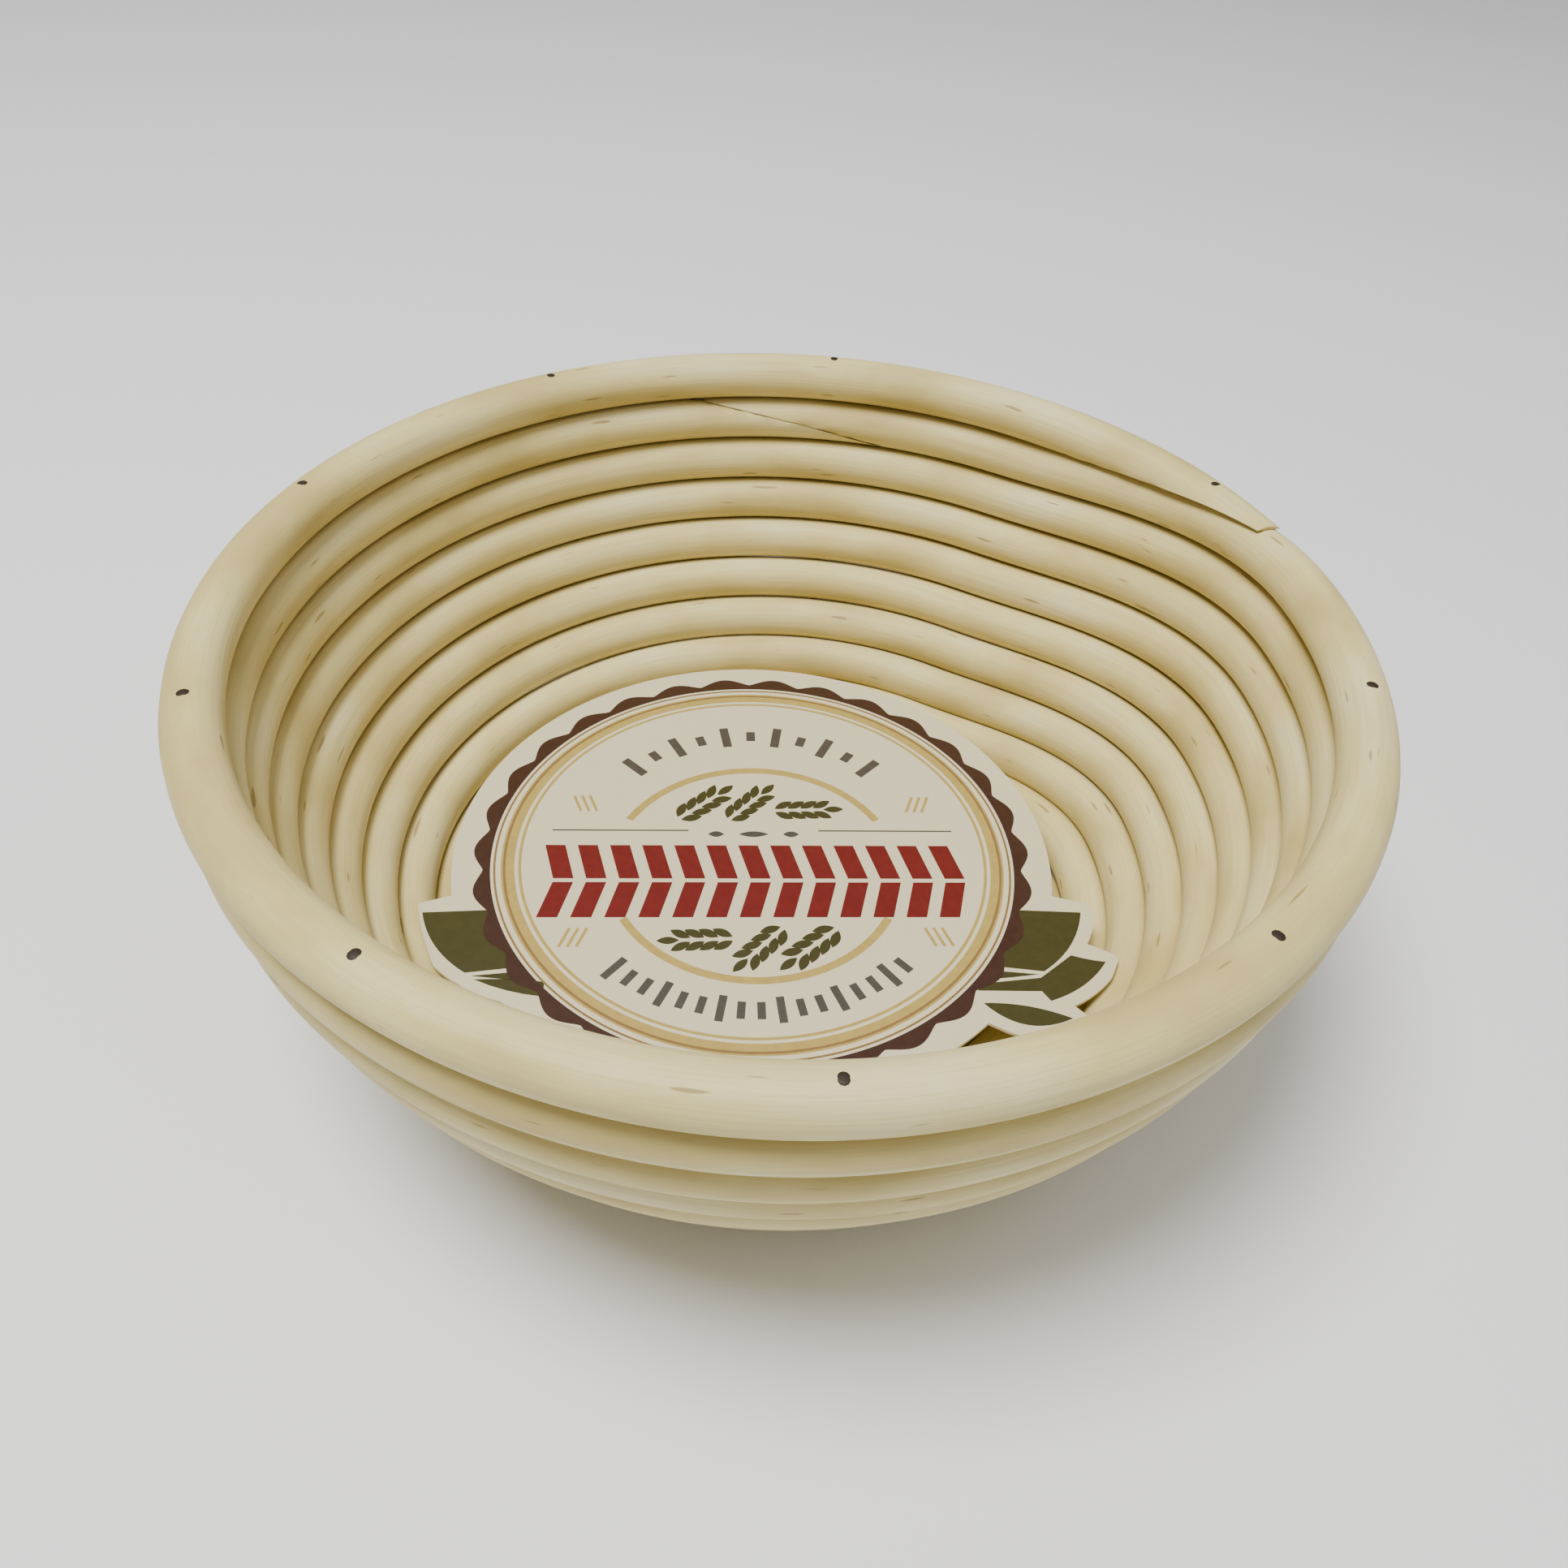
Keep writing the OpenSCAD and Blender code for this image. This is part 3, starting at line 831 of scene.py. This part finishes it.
def peeled_rattan(colours):
    """Peeled rattan core, drawn round through a die: a dry satin skin of long straight fibres.

    The eye sees pale straw with slow yellow drifts along the cane, fine lines of fibre, a few
    short brown flecks, darker cane along a glued joint, and painted shade down where two turns touch.
    """
    material, tree, shader = new_material("peeled_rattan", colours.cane, 0.62, IOR=1.5, Sheen_Weight=0.06)
    chart = add(tree, "ShaderNodeUVMap", uv_map="UVMap").outputs[0]

    def fibres(long_mm, wide_mm, detail, offset):
        """Noise stretched along the cane; the sizes are those of one streak."""
        scaled = add(tree, "ShaderNodeMapping", {
            "Vector": chart, "Location": (offset, offset * 0.7, 0),
            "Scale": (1 / (long_mm * MM), 1 / (wide_mm * MM), 1),
        })
        return add(tree, "ShaderNodeTexNoise", {"Vector": scaled, "Scale": 1.0, "Detail": detail})

    # Slow drifts of colour are a few centimetres long.
    drift = fibres(38, 16, 4.0, 3.1)
    # Fibre bundles are about 0.4 mm wide; the broader streaks are several of them together.
    streaks = fibres(60, 2.4, 3.0, 11.7)
    grain = fibres(22, 0.4, 3.0, 23.9)
    # A fleck is a strand of bark or a knot that was scraped off, up to 9 mm long and 1 mm wide.
    flecks = fibres(9, 1.1, 0.0, 41.3)
    deep = colours.cane_deep
    body = add(tree, "ShaderNodeValToRGB", {"Fac": drift},
               [(0.34, deep), (0.5, colours.cane), (0.68, colours.cane_pale)])
    streaky = laid_over(tree, body, deep, streaks, (0.45, 0), (0.8, 0.5))
    lined = laid_over(tree, streaky, deep, grain, (0.3, 0.4), (0.55, 0))
    speckled = laid_over(tree, lined, colours.cane_fleck, flecks, (0.17, 0.7), (0.21, 0))
    # Darkens the cane where two turns touch, as painted shade, and along a glued joint, where the glue soaked
    # in
    seam = add(tree, "ShaderNodeAttribute", attribute_name="seam").outputs["Fac"]
    shaded = laid_over(tree, speckled, colours.cane_shade_and_glue, seam, (0.86, 0), (1.0, 0.5))
    tree.links.new(shaded, shader.inputs["Base Color"])
    rough = add(tree, "ShaderNodeMapRange", {"Value": streaks, "To Min": 0.52, "To Max": 0.72})
    tree.links.new(rough.outputs[0], shader.inputs["Roughness"])
    relief = add(tree, "ShaderNodeMath", {0: grain, 1: streaks}, operation="ADD")
    bump = add(tree, "ShaderNodeBump", {"Height": relief, "Strength": 0.35, "Distance": 0.12 * MM})
    tree.links.new(bump.outputs[0], shader.inputs["Normal"])
    return material


def card_stock(colours):
    """Coated cream card, about 0.6 mm, die cut: smooth and nearly matt, with a faint pulpy mottle."""
    material, tree, shader = new_material("coated_card", colours.paper, 0.5, IOR=1.48)
    place = add(tree, "ShaderNodeTexCoord").outputs["Object"]
    # Pulp clouds are 2 to 4 mm across.
    pulp = add(tree, "ShaderNodeTexNoise", {"Vector": place, "Scale": 1 / (3 * MM), "Detail": 3.0})
    mottled = laid_over(tree, colours.paper, colours.paper_fleck, pulp, (0.3, 0), (0.8, 0.14))
    tree.links.new(mottled, shader.inputs["Base Color"])
    bump = add(tree, "ShaderNodeBump", {"Height": pulp, "Strength": 0.08, "Distance": 0.05 * MM})
    tree.links.new(bump.outputs[0], shader.inputs["Normal"])
    return material


def printed_ink(label, base):
    """Offset ink on coated card: even, with a slight sheen, and a fine mottle where it lies thin."""
    material, tree, shader = new_material("offset_ink_" + label, base, 0.42, IOR=1.5)
    place = add(tree, "ShaderNodeTexCoord").outputs["Object"]
    # The mottle's clouds are about 1.5 mm, drawn coarser than real ink's so that they show.
    thin = add(tree, "ShaderNodeTexNoise", {"Vector": place, "Scale": 1 / (1.5 * MM), "Detail": 4.0})
    lighter = tuple(min(1.0, c * 1.15 + 0.003) for c in base[:3]) + (1.0,)
    mottled = add(tree, "ShaderNodeValToRGB", {"Fac": thin}, [(0.35, base), (0.75, lighter)])
    tree.links.new(mottled.outputs[0], shader.inputs["Base Color"])
    return material


def drawn_wire(colours):
    """Drawn steel wire nails, dulled by damp flour: dark, rough, hardly bright, with a brown bloom."""
    material, tree, shader = new_material("drawn_steel_wire", colours.steel, 0.6, Metallic=0.35)
    place = add(tree, "ShaderNodeTexCoord").outputs["Object"]
    # Patches of bloom are about 1 mm across.
    bloom = add(tree, "ShaderNodeTexNoise", {"Vector": place, "Scale": 1 / (1.2 * MM), "Detail": 3.0})
    stained = laid_over(tree, colours.steel, colours.rust, bloom, (0.4, 0), (0.75, 1))
    tree.links.new(stained, shader.inputs["Base Color"])
    return material


# ---------------------------------------------------------------- operators


# Half the floor's side in metres, and the camera's sensor in millimetres
HALF_FLOOR = 4.0
SENSOR_WIDTH = 36


def settle(piece, body, slot, *nodes):
    """Hides the CAD nodes that a finished piece stands for, and hangs it on the body it moves with. slot is
    not used.
    """
    if nodes:
        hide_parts(*nodes)
    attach(piece, body)


class BASKET_OT_canes(bpy.types.Operator):
    """Coils the bowl from its three lengths of cane"""
    bl_idname = "basket.canes"
    bl_label = "Coil the Canes"

    def execute(self, context):
        scene = context.scene
        sizes, coil = scene.basket_sizes, Coil(scene.basket_sizes)
        upper = (sizes.rim_joint_turn, sizes.rim_joint_at)
        lower = (sizes.base_joint_turn, sizes.base_joint_at)
        # A cut at the height called whole is beyond the skin, and takes nothing off.
        half_glue, whole = sizes.glue_line / 2, sizes.cane_width

        def scarf_end(joint, side):
            return coil.travel(*joint) + side * coil.scarf_half(joint[0])

        def rim_cut(t):
            return (coil.lap_height(t) if t < 0 else coil.scarf_height(t, *upper) + half_glue), whole

        def wall_cut(t):
            return coil.scarf_height(t, *lower) + half_glue, coil.scarf_height(t, *upper) - half_glue

        def base_cut(t):
            return -whole, coil.scarf_height(t, *lower) - half_glue

        inner_end = coil.travel(coil.last, coil.step_start(coil.last))
        canes = (
            ("rim_cane", -sizes.rim_lap, scarf_end(upper, 1), rim_cut),
            ("wall_cane", scarf_end(upper, -1), scarf_end(lower, 1), wall_cut),
            ("base_cane", scarf_end(lower, -1), inner_end, base_cut),
        )
        tree = cane_tree()
        material = peeled_rattan(scene.basket_colours)
        for number, (node, start, end, cut) in enumerate(canes):
            path = cane_path(node, coil, start, end, cut)
            piece = through_nodes(node + "_rattan", path, tree, {
                # Half the gap closes the seams, which would let light through.
                "Radius": coil.r + sizes.seam_gap / 2, "Sides": CANE_SIDES,
                "Seed": FIRST_SEED + SEED_STEP * number, "Finish": material,
            })
            face_out(piece.data)
            settle(piece, "basket", "cane", node)
        return {"FINISHED"}


class BASKET_OT_nails(bpy.types.Operator):
    """Drives the nails that hold each turn to the next"""
    bl_idname = "basket.nails"
    bl_label = "Drive the Nails"

    def execute(self, context):
        scene = context.scene
        coil = Coil(scene.basket_sizes)
        tree, material = nail_tree(), drawn_wire(scene.basket_colours)
        pattern = link_new("nail_pattern", nail_mesh(coil))
        for node, places in nail_places(coil).items():
            points, turns = [], []
            for k, at in places:
                t = coil.travel(k, at)
                middle, out, up = coil.frame_at(t, coil.sway(t))
                points.append(middle + up * (coil.r + NAIL_PROUD))
                square = Matrix((out, up.cross(out), up)).transposed()
                turns += list(square.to_euler())
            mesh = bpy.data.meshes.new(node + "_points")
            mesh.from_pydata([tuple(p) for p in points], [], [])
            mesh.attributes.new("turned", "FLOAT_VECTOR", "POINT").data.foreach_set("vector", turns)
            piece = through_nodes(node + "_wire", mesh, tree, {"Nail": pattern, "Finish": material})
            settle(piece, "basket", "nail_steel", node)
        bpy.data.objects.remove(pattern)
        return {"FINISHED"}


class BASKET_OT_card(bpy.types.Operator):
    """Cuts the card with its leaf tips"""
    bl_idname = "basket.card"
    bl_label = "Cut the Card"

    def execute(self, context):
        scene = context.scene
        sizes = scene.card_sizes
        right, left = leaf_shapes()
        outline = card_outline(sizes, right + left)
        piece = plate("card_sheet", [outline], CARD_LOW[2], CARD_HIGH[2], card_stock(scene.basket_colours))
        settle(piece, "card", "card_paper", "insert_card")
        return {"FINISHED"}


class BASKET_OT_print(bpy.types.Operator):
    """Prints the card: rings, leaves, grain, a plaited band and dashes"""
    bl_idname = "basket.print"
    bl_label = "Print the Card"

    def execute(self, context):
        scene = context.scene
        sizes, colours = scene.card_sizes, scene.basket_colours
        inks = {}
        for name, (label, layer, shapes) in print_layers(sizes).items():
            if label not in inks:
                inks[label] = printed_ink(label, tuple(getattr(colours, label)))
            loops = [[on_card(sizes, p) for p in shape] for shape in shapes]
            top = CARD_HIGH[2] + layer * sizes.ink
            piece = plate(name, loops, CARD_HIGH[2] - sizes.ink, top, inks[label])
            settle(piece, "card", "card_paper")
        return {"FINISHED"}


class BASKET_OT_stage(bpy.types.Operator):
    """Sets out the pale floor, the soft light and the camera"""
    bl_idname = "basket.stage"
    bl_label = "Set the Stage"

    def execute(self, context):
        scene = context.scene
        stage = scene.stage_settings
        bm = bmesh.new()
        bmesh.ops.create_grid(bm, x_segments=1, y_segments=1, size=HALF_FLOOR)
        floor_mesh = bpy.data.meshes.new("floor")
        bm.to_mesh(floor_mesh)
        bm.free()
        floor = link_new("floor", floor_mesh)
        floor_mesh.materials.append(new_material("studio_floor", tuple(stage.floor), 0.9)[0])

        world = bpy.data.worlds.new("even_light")
        world.use_nodes = True
        backdrop = world.node_tree.nodes["Background"]
        backdrop.inputs["Color"].default_value = (1, 1, 1, 1)
        backdrop.inputs["Strength"].default_value = stage.sky
        scene.world = world

        middle = Vector((0, 0, CAD_BOX[1][2] / 2))
        # Name, place, diameter and power
        lamps = (
            ("key", (-0.3, -0.2, 1.3), 0.6, 25.0),
            ("fill", (0.4, -0.4, 1.3), 0.9, 4.0),
        )
        for name, place, size, power in lamps:
            light = bpy.data.lights.new(name, "AREA")
            light.shape, light.size, light.energy = "DISK", size, power
            lamp = bpy.data.objects.new(name, light)
            lamp.location = place
            lamp.rotation_euler = (middle - Vector(place)).to_track_quat("-Z", "Y").to_euler()
            scene.collection.objects.link(lamp)

        view = bpy.data.cameras.new("camera")
        view.lens, view.sensor_width, view.clip_start = stage.lens, SENSOR_WIDTH, 10 * MM
        camera = bpy.data.objects.new("camera", view)
        dip = stage.camera_dip
        away = Vector((0, math.cos(dip), -math.sin(dip)))
        level, lift = Vector((1, 0, 0)), Vector((0, math.sin(dip), math.cos(dip)))
        c, s = math.cos(stage.camera_roll), math.sin(stage.camera_roll)
        axes = Matrix((level * c + lift * s, lift * c - level * s, -away)).transposed()
        place = Vector((stage.camera_side, -stage.camera_back, stage.camera_height))
        camera.matrix_world = Matrix.Translation(place) @ axes.to_4x4()
        scene.collection.objects.link(camera)
        scene.camera = camera
        return {"FINISHED"}


class BASKET_PT_panel(bpy.types.Panel):
    """Lists the basket's sizes and the steps that make it"""
    bl_idname = "BASKET_PT_panel"
    bl_label = "Proving Basket"
    bl_space_type = "VIEW_3D"
    bl_region_type = "UI"
    bl_category = "Basket"

    def draw(self, context):
        for name, group in GROUPS.items():
            box = self.layout.box()
            box.label(text=group.__doc__)
            for field in group.__annotations__:
                box.prop(getattr(context.scene, name), field)
        for step in STEPS:
            self.layout.operator(step.bl_idname)


STEPS = (BASKET_OT_canes, BASKET_OT_nails, BASKET_OT_card, BASKET_OT_print, BASKET_OT_stage)
CLASSES = (*GROUPS.values(), *STEPS, BASKET_PT_panel)


def register():
    """Registers the classes and hangs the settings on the scene."""
    for item in CLASSES:
        bpy.utils.register_class(item)
    for name, group in GROUPS.items():
        setattr(bpy.types.Scene, name, bpy.props.PointerProperty(type=group))


def unregister():
    """Takes away what register added."""
    for name in GROUPS:
        delattr(bpy.types.Scene, name)
    for item in reversed(CLASSES):
        bpy.utils.unregister_class(item)


def main():
    """Builds the basket and its stage."""
    register()
    bpy.ops.basket.stage()
    bpy.ops.basket.canes()
    bpy.ops.basket.nails()
    bpy.ops.basket.card()
    bpy.ops.basket.print()


if __name__ == "__main__":
    main()
